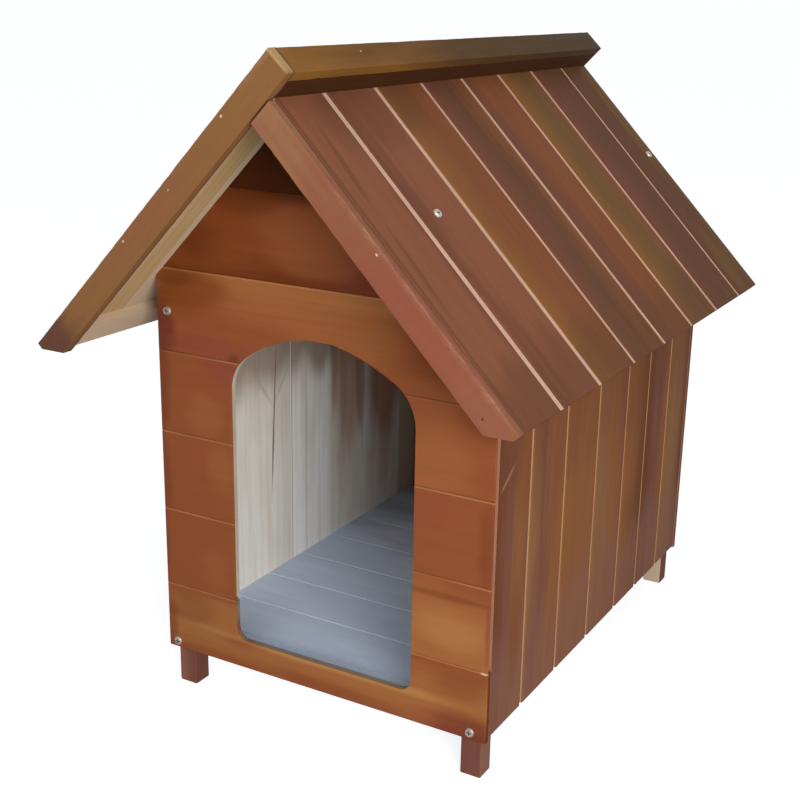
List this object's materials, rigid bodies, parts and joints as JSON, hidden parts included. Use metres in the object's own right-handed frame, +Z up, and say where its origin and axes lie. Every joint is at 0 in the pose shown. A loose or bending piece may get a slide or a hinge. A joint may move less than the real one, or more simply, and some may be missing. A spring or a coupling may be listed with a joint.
{
  "type": "dog house",
  "caption": "Gable-roofed wooden dog house of tongue-and-groove boards, with an arched doorway in front and a floor raised on short corner legs.",
  "frame": {"origin": "on the ground, under the centre of the roof's outline", "axes": "+Z up, -Y out of the doorway, +X to the right as seen from the front"},
  "size_m": [0.5682, 0.744, 0.753],
  "materials": {
    "wall_stain": "brown stain on softwood boards, satin",
    "roof_stain": "brown stain on softwood boards, satin, weathered",
    "post_wood": "stained sawn softwood",
    "bare_wood": "unfinished sawn softwood",
    "painted_floor": "worn blue-grey paint",
    "screw_steel": "plated steel, dull"
  },
  "bodies": {
    "root": {"back_wall_boards": "wall_stain", "floor_boards": "painted_floor", "front_board_1": "wall_stain", "front_board_2_left": "wall_stain", "front_board_2_right": "wall_stain", "front_board_3_left": "wall_stain", "front_board_3_right": "wall_stain", "front_board_4_left": "wall_stain", "front_board_4_right": "wall_stain", "front_board_5": "wall_stain", "front_board_6": "wall_stain", "front_board_7": "wall_stain", "front_left_post": "post_wood", "front_right_post": "post_wood", "left_barge_board": "roof_stain", "left_bottom_rail": "bare_wood", "left_eave_batten": "bare_wood", "left_front_rafter": "bare_wood", "left_roof_board_1": "roof_stain", "left_roof_board_2": "roof_stain", "left_roof_board_3": "roof_stain", "left_roof_board_4": "roof_stain", "left_roof_board_5": "roof_stain", "left_roof_board_6": "roof_stain", "left_roof_board_7": "roof_stain", "left_roof_board_8": "roof_stain", "left_top_rail": "bare_wood", "left_wall_board_1": "wall_stain", "left_wall_board_2": "wall_stain", "left_wall_board_3": "wall_stain", "left_wall_board_4": "wall_stain", "left_wall_board_5": "wall_stain", "left_wall_board_6": "wall_stain", "left_wall_board_7": "wall_stain", "rear_left_post": "post_wood", "rear_rafters": "bare_wood", "rear_right_post": "post_wood", "ridge_batten": "bare_wood", "ridge_board": "roof_stain", "right_barge_board": "roof_stain", "right_bottom_rail": "bare_wood", "right_eave_batten": "bare_wood", "right_front_rafter": "bare_wood", "right_roof_board_1": "roof_stain", "right_roof_board_2": "roof_stain", "right_roof_board_3": "roof_stain", "right_roof_board_4": "roof_stain", "right_roof_board_5": "roof_stain", "right_roof_board_6": "roof_stain", "right_roof_board_7": "roof_stain", "right_roof_board_8": "roof_stain", "right_top_rail": "bare_wood", "right_wall_board_1": "wall_stain", "right_wall_board_2": "wall_stain", "right_wall_board_3": "wall_stain", "right_wall_board_4": "wall_stain", "right_wall_board_5": "wall_stain", "right_wall_board_6": "wall_stain", "right_wall_board_7": "wall_stain", "screws": "screw_steel"}
  },
  "joints": []
}
